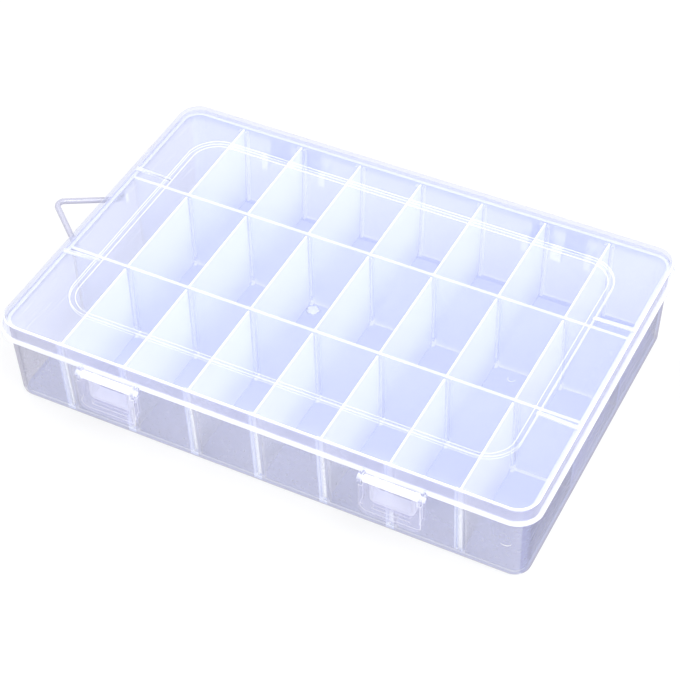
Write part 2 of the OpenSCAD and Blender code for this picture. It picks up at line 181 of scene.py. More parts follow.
class Effects:
    """The shader node groups that the finishes place, each built once."""

    _made: dict[str, bpy.types.NodeTree] = {}

    @classmethod
    def _new(
        cls, name: str, inputs: dict[str, float], outputs: Sequence[str]
    ) -> tuple[NodeBoard, bpy.types.Node, bpy.types.Node]:
        """Starts a group that takes object coordinates and some numbers.

        Args:
            name: The group's name.
            inputs: Its number inputs, with their values to start from.
            outputs: Its outputs, all plain values.

        Returns:
            The board, its input node and its output node.
        """
        tree = bpy.data.node_groups.new(name, "ShaderNodeTree")
        tree.interface.new_socket("Place", in_out="INPUT", socket_type="NodeSocketVector")
        for label, value in inputs.items():
            socket = tree.interface.new_socket(label, in_out="INPUT", socket_type="NodeSocketFloat")
            socket.default_value = value
        for label in outputs:
            tree.interface.new_socket(label, in_out="OUTPUT", socket_type="NodeSocketFloat")
        board = NodeBoard(tree)
        cls._made[name] = tree
        return board, board.add("NodeGroupInput"), board.add("NodeGroupOutput")

    @classmethod
    def flow_marks(cls) -> bpy.types.NodeTree:
        """Slow clouding and ripples that molten plastic leaves as it fills a mould."""
        if "Flow Marks" in cls._made:
            return cls._made["Flow Marks"]
        numbers = {"Scale": 30.0, "Stretch": 0.4}
        board, inn, out = cls._new("Flow Marks", numbers, ["Cloud", "Ripple"])
        squeeze = board.add("ShaderNodeCombineXYZ")
        for name, value in (("X", 1.0), ("Z", 1.0)):
            squeeze.inputs[name].default_value = value
        board.join(inn.outputs["Stretch"], squeeze.inputs["Y"])
        drawn = board.add("ShaderNodeVectorMath", operation="MULTIPLY")
        board.join(inn.outputs["Place"], drawn.inputs[0])
        board.join(squeeze.outputs[0], drawn.inputs[1])
        for label, factor, detail in (("Cloud", 1.0, 3.0), ("Ripple", 2.6, 1.0)):
            noise = board.add("ShaderNodeTexNoise")
            noise.inputs["Detail"].default_value = detail
            noise.inputs["Distortion"].default_value = 0.6
            board.join(drawn.outputs[0], noise.inputs["Vector"])
            board.join(board.math("MULTIPLY", inn.outputs["Scale"], factor), noise.inputs["Scale"])
            board.join(noise.outputs["Fac"], out.inputs[label])
        return board.tree

    @classmethod
    def fine_scuffs(cls) -> bpy.types.NodeTree:
        """Thin, sparse rub marks on a handled plastic."""
        if "Fine Scuffs" in cls._made:
            return cls._made["Fine Scuffs"]
        board, inn, out = cls._new("Fine Scuffs", {"Scale": 400.0, "Amount": 0.3}, ["Mask"])
        masks = []
        for turn in (0.5, 2.1):
            lie = board.add("ShaderNodeMapping", vector_type="POINT")
            lie.inputs["Rotation"].default_value = (turn, 0.3 * turn, turn)
            lie.inputs["Scale"].default_value = (1.0, 0.06, 1.0)
            board.join(inn.outputs["Place"], lie.inputs["Vector"])
            noise = board.add("ShaderNodeTexNoise")
            noise.inputs["Detail"].default_value = 2.0
            board.join(lie.outputs[0], noise.inputs["Vector"])
            board.join(inn.outputs["Scale"], noise.inputs["Scale"])
            peaks = board.math("SUBTRACT", noise.outputs["Fac"], 0.62, clamp=True)
            masks.append(board.math("MULTIPLY", peaks, 5.0, clamp=True))
        both = board.math("MAXIMUM", *masks)
        board.join(board.math("MULTIPLY", both, inn.outputs["Amount"]), out.inputs["Mask"])
        return board.tree

    @classmethod
    def place(
        cls,
        board: NodeBoard,
        group: bpy.types.NodeTree,
        where: bpy.types.NodeSocket,
        **values: float,
    ) -> bpy.types.Node:
        """Places a group in a material.

        Args:
            board: The material's board.
            group: The group to place.
            where: The coordinates that it reads.
            values: Its number inputs, by name.

        Returns:
            The group node.
        """
        node = board.add("ShaderNodeGroup", node_tree=group)
        board.join(where, node.inputs["Place"])
        for label, value in values.items():
            node.inputs[label].default_value = value
        return node


@dataclass(frozen=True)
class PlasticFinish:
    """A see-through moulded plastic.

    Attributes:
        name: The material's name.
        tint: What one surface lets through of red, green and blue.
        body: The colour that the surface scatters back.
        painted_grazing_colour: The colour that it scatters back where it is seen edgeways, which
            paints its outline in shade and highlight.
        haze: Share of light scattered when it is looked at square on.
        glance: Share added where it is looked at edgeways.
        clouding: How much the haze varies over the surface.
        roughness: Roughness of the shine.
        scuffs: How strongly rub marks dull the shine.
        ripple: Strength of the mould's flow ripples.
        flow_scale: Number of flow marks in a metre.
        gloss: Share of light that shines off the surface at every angle.
        mirror: Share added to the shine where it is seen edgeways.
    """

    name: str
    tint: Colour
    body: Colour
    haze: float
    glance: float
    clouding: float
    roughness: float
    scuffs: float
    ripple: float
    flow_scale: float
    painted_grazing_colour: Colour = (0.45, 0.45, 0.52)
    gloss: float = 0.04
    mirror: float = 0.7

    def material(self) -> bpy.types.Material:
        """Builds the material, or returns it if it is there already."""
        known = bpy.data.materials.get(self.name)
        if known is not None:
            return known
        made = bpy.data.materials.new(self.name)
        made.use_nodes = True
        board = NodeBoard(made.node_tree)
        place = board.add("ShaderNodeTexCoord").outputs["Object"]
        flow = Effects.place(
            board, Effects.flow_marks(), place, Scale=self.flow_scale, Stretch=FLOW_STRETCH
        )
        rubbed = Effects.place(
            board, Effects.fine_scuffs(), place, Scale=SCUFF_SCALE, Amount=self.scuffs
        )
        facing = board.add("ShaderNodeLayerWeight")
        facing.inputs["Blend"].default_value = 0.5
        aside = facing.outputs["Facing"]
        rough = board.math("ADD", rubbed.outputs["Mask"], self.roughness, clamp=True)
        bump = board.add("ShaderNodeBump")
        bump.inputs["Strength"].default_value = self.ripple
        bump.inputs["Distance"].default_value = RIPPLE_HEIGHT
        board.join(flow.outputs["Ripple"], bump.inputs["Height"])

        shine = board.add("ShaderNodeBsdfPrincipled")
        shine.inputs["IOR"].default_value = REFRACTION
        board.join(rough, shine.inputs["Roughness"])
        board.join(bump.outputs["Normal"], shine.inputs["Normal"])
        # Painted shade and highlight: the surface's colour turns to its grazing colour where it is
        # seen edgeways, which draws its outline.
        colour = board.add("ShaderNodeMix", data_type="RGBA")
        colour.inputs["A"].default_value = (*self.body, 1.0)
        colour.inputs["B"].default_value = (*self.painted_grazing_colour, 1.0)
        board.join(board.math("POWER", aside, STEEP_RISE), colour.inputs["Factor"])
        board.join(colour.outputs["Result"], shine.inputs["Base Color"])

        see = board.add("ShaderNodeBsdfTransparent")
        see.inputs["Color"].default_value = (*self.tint, 1.0)
        cloud = board.math("SUBTRACT", flow.outputs["Cloud"], 0.5)
        cloud = board.math("MULTIPLY", cloud, self.clouding)
        share = board.math("MULTIPLY", board.math("POWER", aside, SLOW_RISE), self.glance)
        share = board.math("ADD", share, cloud)
        dulled = board.math("MULTIPLY", rubbed.outputs["Mask"], SCUFF_HAZE)
        share = board.math("ADD", share, dulled)
        share = board.math("ADD", share, self.haze, clamp=True)
        body = board.add("ShaderNodeMixShader")
        board.join(share, body.inputs[0])
        board.join(see.outputs[0], body.inputs[1])
        board.join(shine.outputs[0], body.inputs[2])

        glint = board.add("ShaderNodeBsdfAnisotropic", distribution="GGX")
        board.join(rough, glint.inputs["Roughness"])
        board.join(bump.outputs["Normal"], glint.inputs["Normal"])
        mirrored = board.math("MULTIPLY", board.math("POWER", aside, STEEP_RISE), self.mirror)
        skin = board.add("ShaderNodeMixShader")
        board.join(board.math("ADD", mirrored, self.gloss), skin.inputs[0])
        board.join(body.outputs[0], skin.inputs[1])
        board.join(glint.outputs[0], skin.inputs[2])
        board.join(skin.outputs[0], board.add("ShaderNodeOutputMaterial").inputs["Surface"])
        return made


CLEAR = PlasticFinish(
    name="clear_wall", tint=(0.985, 0.988, 1.0), body=(0.96, 0.975, 1.0), haze=0.28, glance=0.05,
    clouding=0.04, roughness=0.25, scuffs=0.12, ripple=0.1, flow_scale=22.0,
    painted_grazing_colour=(0.92, 0.94, 1.0),
)
# Painted shade: the floor's copy of the wall plastic lets through less and scatters back a darker
# blue, which darkens the cells' floors.
FLOOR_PAINTED_SHADE = PlasticFinish(
    name="clear_floor_painted_shade", tint=(0.745, 0.775, 0.93), body=(0.56, 0.62, 0.92), haze=0.1, glance=0.1,
    clouding=0.05, roughness=0.3, scuffs=0.15, ripple=0.1, flow_scale=22.0, painted_grazing_colour=(0.8, 0.82, 0.95),
)
# Painted shade: a greyer, darker copy of the wall plastic for the front wall's outward faces, which
# stands in for the shade on that side.
FRONT_PAINTED_SHADE = PlasticFinish(
    name="clear_front_painted_shade", tint=(0.84, 0.83, 0.83), body=(0.45, 0.44, 0.59), haze=0.14, glance=0.2,
    clouding=0.05, roughness=0.2, scuffs=0.12, ripple=0.1, flow_scale=22.0, painted_grazing_colour=(0.5, 0.5, 0.7),
    mirror=0.2, gloss=0.03,
)
# Painted shade: a much darker copy of the wall plastic for the end walls' outward faces.
ENDS_PAINTED_SHADE = PlasticFinish(
    name="clear_ends_painted_shade", tint=(0.71, 0.705, 0.78), body=(0.27, 0.27, 0.38), haze=0.12, glance=0.1,
    clouding=0.05, roughness=0.2, scuffs=0.12, ripple=0.1, flow_scale=22.0, painted_grazing_colour=(0.4, 0.4, 0.55),
    mirror=0.2, gloss=0.02,
)
# Painted shade: a darker, bluer copy of the wall plastic for the back wall's outward face.
BACK = PlasticFinish(
    name="clear_back_painted_shade", tint=(0.715, 0.745, 0.93), body=(0.5, 0.54, 0.85), haze=0.06, glance=0.06,
    clouding=0.05, roughness=0.2, scuffs=0.12, ripple=0.1, flow_scale=22.0, painted_grazing_colour=(0.6, 0.6, 0.75),
)
LID_TOP = PlasticFinish(
    name="clear_lid", tint=(0.955, 0.965, 0.995), body=(0.76, 0.79, 0.95), haze=0.05, glance=0.08,
    clouding=0.04, roughness=0.32, scuffs=0.1, ripple=0.04, flow_scale=14.0,
)
# Painted shade: a darker, hazier copy of the lid plastic for the skirt, its clips and its ears.
SKIRT_PAINTED_SHADE = PlasticFinish(
    name="clear_skirt_painted_shade", tint=(0.95, 0.955, 0.99), body=(0.68, 0.69, 0.84), haze=0.16, glance=0.2,
    clouding=0.06, roughness=0.25, scuffs=0.1, ripple=0.06, flow_scale=20.0,
    painted_grazing_colour=(0.55, 0.55, 0.66),
)
# Painted highlight: a hazy white copy of the lid plastic, which draws bright lines on the lid's
# rounded edges, bead, top rounding and ribs.
EDGE_PAINTED_HIGHLIGHT = PlasticFinish(
    name="clear_edge_painted_highlight", tint=(0.97, 0.975, 1.0), body=(0.95, 0.96, 1.0), haze=0.6, glance=0.1,
    clouding=0.1, roughness=0.25, scuffs=0.1, ripple=0.05, flow_scale=40.0, painted_grazing_colour=(0.6, 0.6, 0.7),
)
# Painted highlight: a hazy near-white copy of the plastic, which lights the tray's rims, edges,
# guide flanks and mounts, the lid's hinge arms and the latches' tops and edges.
BRIGHT_EDGE_PAINTED_HIGHLIGHT = PlasticFinish(
    name="clear_tray_edge_painted_highlight", tint=(0.985, 0.988, 1.0), body=(0.99, 0.99, 1.0), haze=0.5, glance=0.1,
    clouding=0.1, roughness=0.25, scuffs=0.1, ripple=0.05, flow_scale=40.0, painted_grazing_colour=(0.95, 0.95, 1.0),
    mirror=0.2, gloss=0.02,
)
# Painted light: a clearer, paler copy of the wall plastic, which lifts the painted shade off the
# strips before the guides and keeps the guide ribs from showing their shade.
GUIDE_PAINTED_LIGHT = PlasticFinish(
    name="clear_guide_painted_light", tint=(0.99, 0.993, 1.0), body=(0.97, 0.98, 1.0), haze=0.05, glance=0.02,
    clouding=0.02, roughness=0.25, scuffs=0.05, ripple=0.05, flow_scale=22.0,
    painted_grazing_colour=(0.95, 0.95, 1.0), mirror=0.1, gloss=0.01,
)
FROSTED = PlasticFinish(
    name="frosted_blade", tint=(0.97, 0.975, 1.0), body=(0.93, 0.945, 1.0), haze=0.66, glance=0.05,
    clouding=0.12, roughness=0.42, scuffs=0.1, ripple=0.25, flow_scale=45.0,
    painted_grazing_colour=(0.95, 0.97, 1.0),
)
# Painted highlight: a whiter copy of the frosted plastic for the dividers' tops and ends.
FROSTED_EDGE_PAINTED_HIGHLIGHT = PlasticFinish(
    name="frosted_edge_painted_highlight", tint=(0.99, 0.99, 1.0), body=(0.998, 0.998, 1.0), haze=0.82, glance=0.1,
    clouding=0.08, roughness=0.35, scuffs=0.1, ripple=0.1, flow_scale=60.0,
    painted_grazing_colour=(0.95, 0.95, 0.98),
)
MOULDED = PlasticFinish(
    name="moulded_latch", tint=(0.93, 0.93, 0.97), body=(0.82, 0.82, 0.95), haze=0.09, glance=0.2,
    clouding=0.08, roughness=0.2, scuffs=0.15, ripple=0.12, flow_scale=60.0,
    painted_grazing_colour=(0.75, 0.75, 0.85),
)
LOOP = PlasticFinish(
    name="moulded_loop", tint=(0.88, 0.88, 0.93), body=(0.43, 0.43, 0.52), haze=0.45, glance=0.2,
    clouding=0.08, roughness=0.2, scuffs=0.15, ripple=0.12, flow_scale=60.0,
    painted_grazing_colour=(0.64, 0.64, 0.76),
)


# Meshes


@dataclass(frozen=True)
class SoftEdge:
    """How far a mould rounds the edges of a piece.

    Attributes:
        width: Width of the rounding, in metres.
        angle: Least angle between two faces that counts as an edge, in degrees.
        segments: Steps in the rounding.
        weighed: Whether the edges carry weights that choose them, in place of the angle.
    """

    width: float
    angle: float = 28.0
    segments: int = 2
    weighed: bool = False

    def soften(self, piece: bpy.types.Object) -> None:
        """Gives a piece this rounding, in the finish of its edges, whose whiter tone paints
        highlights along them.
        """
        bevel = piece.modifiers.new("soft_edges", "BEVEL")
        bevel.width = self.width
        bevel.segments = self.segments
        bevel.limit_method = "WEIGHT" if self.weighed else "ANGLE"
        bevel.angle_limit = math.radians(self.angle)
        bevel.use_clamp_overlap = True
        bevel.harden_normals = True
        # Painted highlights: the rounding takes the whiter edge finish.
        bevel.material = EDGE_PLACE


def solid_copy(node: str, name: str) -> bpy.types.Object:
    """Copies a CAD node as a clean, smooth-shaded solid.

    Args:
        node: The CAD node's name.
        name: The new piece's name.

    Returns:
        The new object, at the origin, with its place in its mesh.
    """
    shape = bmesh.new()
    shape.from_mesh(bpy.data.objects[node].data)
    bmesh.ops.remove_doubles(shape, verts=shape.verts, dist=0.002 * MM)
    bmesh.ops.dissolve_limit(
        shape, angle_limit=math.radians(0.6), verts=shape.verts, edges=shape.edges
    )
    return shaded_object(shape, name)


def shaded_object(shape: bmesh.types.BMesh, name: str) -> bpy.types.Object:
    """Turns a shape into a smooth-shaded object and frees the shape.

    Args:
        shape: The shape to take.
        name: The new object's name.

    Returns:
        The new object, linked to the scene.
    """
    mesh = bpy.data.meshes.new(name)
    shape.to_mesh(mesh)
    shape.free()
    mesh.shade_smooth()
    piece = bpy.data.objects.new(name, mesh)
    bpy.context.scene.collection.objects.link(piece)
    return piece


def mark_faces(piece: bpy.types.Object, finish: PlasticFinish, chosen: Chooser) -> None:
    """Gives the chosen faces of a piece one of its finishes.

    Args:
        piece: The piece to mark.
        finish: The finish, one of those that the piece is dressed in.
        chosen: Tells from a face's middle, in mm, and its normal whether it is marked.
    """
    index = piece.data.materials.find(finish.name)
    for face in piece.data.polygons:
        if chosen(face.center / MM, face.normal):
            face.material_index = index


def dress(piece: bpy.types.Object, finishes: Iterable[PlasticFinish]) -> None:
    """Gives a piece its finishes in order, in place of any it has. The edges' is the second."""
    piece.data.materials.clear()
    for finish in finishes:
        piece.data.materials.append(finish.material())


def settle(piece: bpy.types.Object, body: Body, nodes: Sequence[str] = ()) -> None:
    """Lets a finished piece ride on its body and stand for its CAD nodes.

    Args:
        piece: The finished piece.
        body: The body that it rides on.
        nodes: The CAD nodes that it stands for.
    """
    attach(piece, body.value)
    if nodes:
        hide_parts(*nodes)
    LOG.info("%s: %d faces", piece.name, len(piece.data.polygons))


class GeometryTree:
    """A Geometry Nodes tree with named inputs, used to make one piece and then taken off it."""

    def __init__(self, name: str, inputs: dict[str, str]) -> None:
        """Starts a tree.

        Args:
            name: The tree's name.
            inputs: The sockets after the geometry, as name and socket type.
        """
        self.tree = bpy.data.node_groups.new(name, "GeometryNodeTree")
        face = self.tree.interface
        face.new_socket("Geometry", in_out="INPUT", socket_type="NodeSocketGeometry")
        for label, kind in inputs.items():
            face.new_socket(label, in_out="INPUT", socket_type=kind)
        face.new_socket("Geometry", in_out="OUTPUT", socket_type="NodeSocketGeometry")
        self.board = NodeBoard(self.tree)
        self.inn = self.board.add("NodeGroupInput")
        self.out = self.board.add("NodeGroupOutput")

    def end(self, instances: bpy.types.NodeSocket, materials: Sequence[str]) -> None:
        """Realizes the instances, sets the materials of their faces and ends the tree.

        Args:
            instances: The instances to realize.
            materials: The inputs that hold the materials, in the order of the faces' indices.
        """
        real = self.board.add("GeometryNodeRealizeInstances")
        self.board.join(instances, real.inputs["Geometry"])
        done = real.outputs["Geometry"]
        for place, label in enumerate(materials):
            number = self.board.add("GeometryNodeInputMaterialIndex")
            same = self.board.add("FunctionNodeCompare", data_type="INT", operation="EQUAL")
            first, second = (slot for slot in same.inputs if slot.type == "INT")
            self.board.join(number.outputs[0], first)
            second.default_value = place
            paint = self.board.add("GeometryNodeSetMaterial")
            self.board.join(done, paint.inputs["Geometry"])
            self.board.join(same.outputs[0], paint.inputs["Selection"])
            self.board.join(self.inn.outputs[label], paint.inputs["Material"])
            done = paint.outputs["Geometry"]
        self.board.join(done, self.out.inputs["Geometry"])

    def make(
        self, source: bpy.types.Object, name: str, values: dict[str, object]
    ) -> bpy.types.Object:
        """Runs the tree on an object and keeps the result as a plain mesh.

        Args:
            source: The object that holds what repeats. It is removed.
            name: The new piece's name.
            values: The tree's inputs, by name.

        Returns:
            The new object.
        """
        modifier = source.modifiers.new(self.tree.name, "NODES")
        modifier.node_group = self.tree
        for item in self.tree.interface.items_tree:
            if item.in_out == "INPUT" and item.name in values:
                modifier[item.identifier] = values[item.name]
        source.update_tag()
        evaluated = source.evaluated_get(bpy.context.evaluated_depsgraph_get())
        mesh = bpy.data.meshes.new_from_object(evaluated)
        mesh.name = name
        bpy.data.objects.remove(source)
        piece = bpy.data.objects.new(name, mesh)
        bpy.context.scene.collection.objects.link(piece)
        return piece


# The box's sub-assemblies


@dataclass
class Tray:
    """The clear tray with its long walls, guides, hinge pins, catches and hanger lugs.

    Attributes:
        soft: The rounding of its edges.
        strip: Half the width of the strip before each guide that is painted paler, as painted
            light, in mm.
    """

    soft: SoftEdge = SoftEdge(0.16 * MM)
    strip: float = 1.45

    @staticmethod
    def _is_outside(middle: Vector, normal: Vector) -> bool:
        """True for the outward faces of the front wall."""
        return middle.y < -LONG_SIDES and normal.y < -TURNED

    @staticmethod
    def _is_end(middle: Vector, normal: Vector) -> bool:
        """True for the outward faces of the two end walls."""
        return abs(middle.x) > TRAY_ENDS and normal.x * middle.x > 45.0

    @staticmethod
    def _is_back(middle: Vector, normal: Vector) -> bool:
        """True for the outward face of the back wall, between the hinge ears."""
        return LONG_SIDES < middle.y < 63.6 and normal.y > TURNED

    @staticmethod
    def _is_floor(middle: Vector, normal: Vector) -> bool:
        """True for the two sides of the floor."""
        return abs(normal.z) > SQUARE and middle.z < 2.0

    @staticmethod
    def _is_rim(middle: Vector, normal: Vector) -> bool:
        """True for the narrow faces on top of the walls."""
        return normal.z > SQUARE and middle.z > 33.0

    @staticmethod
    def _is_outer_guide(middle: Vector, normal: Vector) -> bool:
        """True for the flanks of the guide ribs on the front and back walls."""
        by_wall = 59.0 < abs(middle.y) < 62.1 and abs(middle.x) < GUIDE_REACH
        return by_wall and abs(normal.x) > 0.8

    @staticmethod
    def _is_inner_guide(middle: Vector, normal: Vector) -> bool:
        """True for the faces of the guide ribs on the long walls."""
        off = abs(abs(middle.y) - 20.4)
        by_wall = 0.7 < off < 2.4 and abs(middle.x) < GUIDE_REACH
        return by_wall and GUIDE_FOOT < middle.z < 32.8

    @staticmethod
    def _is_mount(middle: Vector, normal: Vector) -> bool:
        """True for the hinge ears and the catch frames, which stand out of the walls."""
        return abs(middle.y) > 64.0

    @cached_property
    def _guides(self) -> list[float]:
        """The middles of the guides along the length, in mm."""
        boxes = [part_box(f"divider_front_{i + 1}") for i in range(Dividers.count)]
        return [sum(corner.x for corner in box) / 2.0 / MM for box in boxes]

    def _cut_front(self, piece: bpy.types.Object) -> None:
        """Cuts the front wall's outward face beside every guide, which frees the strips that are
        painted paler.

        Args:
            piece: The tray.
        """
        shape = bmesh.new()
        shape.from_mesh(piece.data)
        for middle in self._guides:
            for side in (-self.strip, self.strip):
                faces = [
                    face
                    for face in shape.faces
                    if self._is_outside(face.calc_center_median() / MM, face.normal)
                ]
                around = {item for face in faces for item in (*face.verts, *face.edges)}
                bmesh.ops.bisect_plane(
                    shape,
                    geom=[*faces, *around],
                    plane_co=((middle + side) * MM, 0.0, 0.0),
                    plane_no=(1.0, 0.0, 0.0),
                )
        shape.to_mesh(piece.data)
        shape.free()

    def _is_painted_light_strip(self, middle: Vector, normal: Vector) -> bool:
        """True for the strips of the front wall that the guides stand behind, which are painted
        paler.
        """
        near = min(abs(middle.x - place) for place in self._guides)
        return self._is_outside(middle, normal) and near < self.strip and middle.z > GUIDE_FOOT

    def build(self) -> None:
        """Makes the tray and puts it in its place."""
        piece = solid_copy("base_tray", "tray_body")
        self._cut_front(piece)
        dress(piece, (CLEAR, BRIGHT_EDGE_PAINTED_HIGHLIGHT, FRONT_PAINTED_SHADE, FLOOR_PAINTED_SHADE, BACK, ENDS_PAINTED_SHADE, GUIDE_PAINTED_LIGHT))
        rules = (
            # Painted shade: the front wall's outward faces get the greyer, darker copy of the
            # plastic.
            (FRONT_PAINTED_SHADE, self._is_outside),
            # Painted light: the strips before the guides get the clearer, paler copy.
            (GUIDE_PAINTED_LIGHT, self._is_painted_light_strip),
            # Painted shade: the end walls' outward faces get the darker copy.
            (ENDS_PAINTED_SHADE, self._is_end),
            # Painted shade: the back wall's outward face gets the darker, bluer copy.
            (BACK, self._is_back),
            # Painted shade: the floor gets the darker copy of the plastic.
            (FLOOR_PAINTED_SHADE, self._is_floor),
            # Painted highlight: the tops of the walls get the near-white copy.
            (BRIGHT_EDGE_PAINTED_HIGHLIGHT, self._is_rim),
            # Painted highlight: the flanks of the outer guides get the near-white copy.
            (BRIGHT_EDGE_PAINTED_HIGHLIGHT, self._is_outer_guide),
            # Painted light: the guide ribs get the clearer copy, which hides their shade.
            (GUIDE_PAINTED_LIGHT, self._is_inner_guide),
            # Painted light: the hinge ears and catch frames get the near-white copy.
            (BRIGHT_EDGE_PAINTED_HIGHLIGHT, self._is_mount),
        )
        for finish, chosen in rules:
            mark_faces(piece, finish, chosen)
        self.soft.soften(piece)
        settle(piece, Body.BASE, ["base_tray"])


@dataclass
class Dividers:
    """The loose frosted dividers, seven to a row.

    Attributes:
        count: Number of dividers in a row.
        draft: Share of its thickness that a divider loses from foot to top.
        soft: The rounding of their edges.
    """

    count: int = 7
    draft: float = 0.4
    soft: SoftEdge = SoftEdge(0.16 * MM)

    @staticmethod
    def _row_tree() -> GeometryTree:
        """Builds the tree that repeats a blade along the row."""
        tree = GeometryTree(
            "divider_row",
            {
                "Count": "NodeSocketInt",
                "Pitch": "NodeSocketFloat",
                "Blade": "NodeSocketMaterial",
                "Edge": "NodeSocketMaterial",
            },
        )
        board = tree.board
        line = board.add("GeometryNodeMeshLine", mode="OFFSET")
        step = board.add("ShaderNodeCombineXYZ")
        board.join(tree.inn.outputs["Pitch"], step.inputs["X"])
        board.join(tree.inn.outputs["Count"], line.inputs["Count"])
        board.join(step.outputs[0], line.inputs["Offset"])
        stand = board.add("GeometryNodeInstanceOnPoints")
        board.join(line.outputs["Mesh"], stand.inputs["Points"])
        board.join(tree.inn.outputs["Geometry"], stand.inputs["Instance"])
        tree.end(stand.outputs["Instances"], ("Blade", "Edge"))
        return tree

    def _thin_top(self, blade: bpy.types.Object) -> None:
        """Narrows a blade towards its top, as the mould's draft does."""
        low, high = (side(corner.co.z for corner in blade.data.vertices) for side in (min, max))
        middle = sum(corner.co.x for corner in blade.data.vertices) / len(blade.data.vertices)
        for corner in blade.data.vertices:
            rise = (corner.co.z - low) / (high - low)
            corner.co.x = middle + (corner.co.x - middle) * (1.0 - self.draft * rise)

    def build(self) -> None:
        """Makes the three rows of dividers."""
        tree = self._row_tree()
        for row in Row:
            nodes = [f"divider_{row.value}_{i + 1}" for i in range(self.count)]
            blade = solid_copy(nodes[0], f"blade_{row.value}")
            dress(blade, (FROSTED, FROSTED_EDGE_PAINTED_HIGHLIGHT))
            self._thin_top(blade)
            # Painted highlight: the tops and ends of the blade get the whiter copy.
            mark_faces(blade, FROSTED_EDGE_PAINTED_HIGHLIGHT, lambda middle, normal: abs(normal.x) < TURNED)
            self.soft.soften(blade)
            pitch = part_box(nodes[1])[0].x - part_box(nodes[0])[0].x
            values = {
                "Count": self.count,
                "Pitch": pitch,
                "Blade": FROSTED.material(),
                "Edge": FROSTED_EDGE_PAINTED_HIGHLIGHT.material(),
            }
            piece = tree.make(blade, f"dividers_{row.value}", values)
            settle(piece, Body.BASE, nodes)


